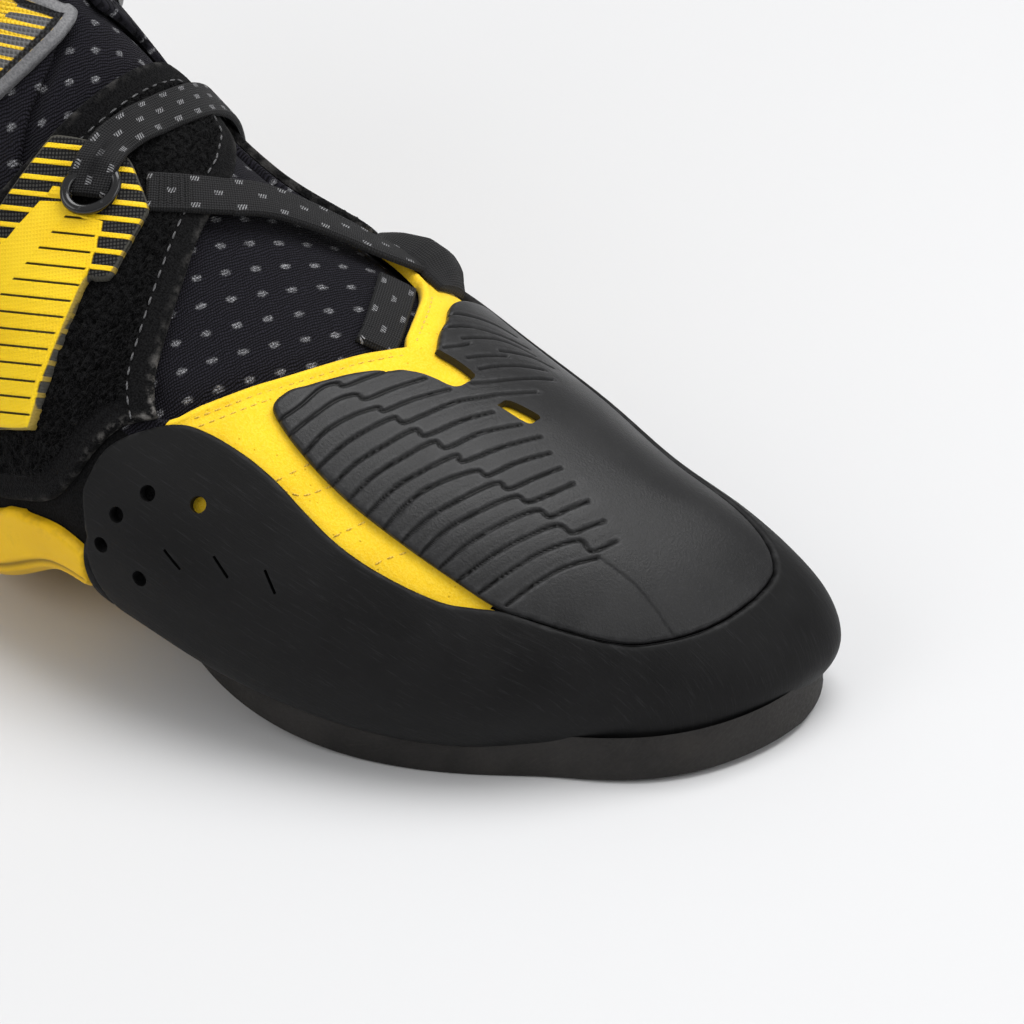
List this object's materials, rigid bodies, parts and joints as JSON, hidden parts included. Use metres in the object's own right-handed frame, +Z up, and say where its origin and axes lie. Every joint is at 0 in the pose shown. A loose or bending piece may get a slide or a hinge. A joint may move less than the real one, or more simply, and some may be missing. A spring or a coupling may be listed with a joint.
{
  "type": "climbing shoe",
  "caption": "Downturned rubber-soled climbing shoe with a stretch tongue, a hook-and-loop tab and webbing over the instep.",
  "frame": {"origin": "centre of the heel's flat spot, on the surface that the shoe stands on", "axes": "+X to the toe, +Y to the big-toe side, +Z up; the shoe is for the right foot"},
  "size_m": [0.2352, 0.0836, 0.1051],
  "materials": {
    "yellow_microfibre": "napped microfibre, matt",
    "black_knit": "fine knit with pale flecks",
    "insole_board": "plain textile",
    "rand_rubber": "fine matt moulded rubber",
    "sole_rubber": "ground rubber edge, smooth underside",
    "patch_rubber": "satin moulded rubber with grooves",
    "yellow_rubber": "satin moulded rubber",
    "loop_pile": "loop pile with a suede-like border",
    "yellow_moulding": "moulded ribs over black mesh",
    "black_plastic": "gloss moulded plastic",
    "webbing": "woven tape with pale marks",
    "grey_mesh": "grey mesh with yellow stripes and a reflective edge"
  },
  "bodies": {
    "root": {"upper": "yellow_microfibre", "tongue": "black_knit", "insole": "insole_board", "rand": "rand_rubber", "outsole": "sole_rubber", "toe_patch": "patch_rubber", "heel_cup": "yellow_rubber", "heel_sole": "sole_rubber", "flap_lateral": "loop_pile", "quarter_medial": "loop_pile", "closure_tab": "yellow_moulding", "tab_ring": "black_plastic", "webbing_upper": "webbing", "webbing_middle": "webbing", "webbing_lower": "webbing", "guide_loop": "webbing", "heel_pull_loop": "webbing", "ankle_patch_lateral": "grey_mesh", "ankle_patch_medial": "grey_mesh"}
  },
  "joints": []
}
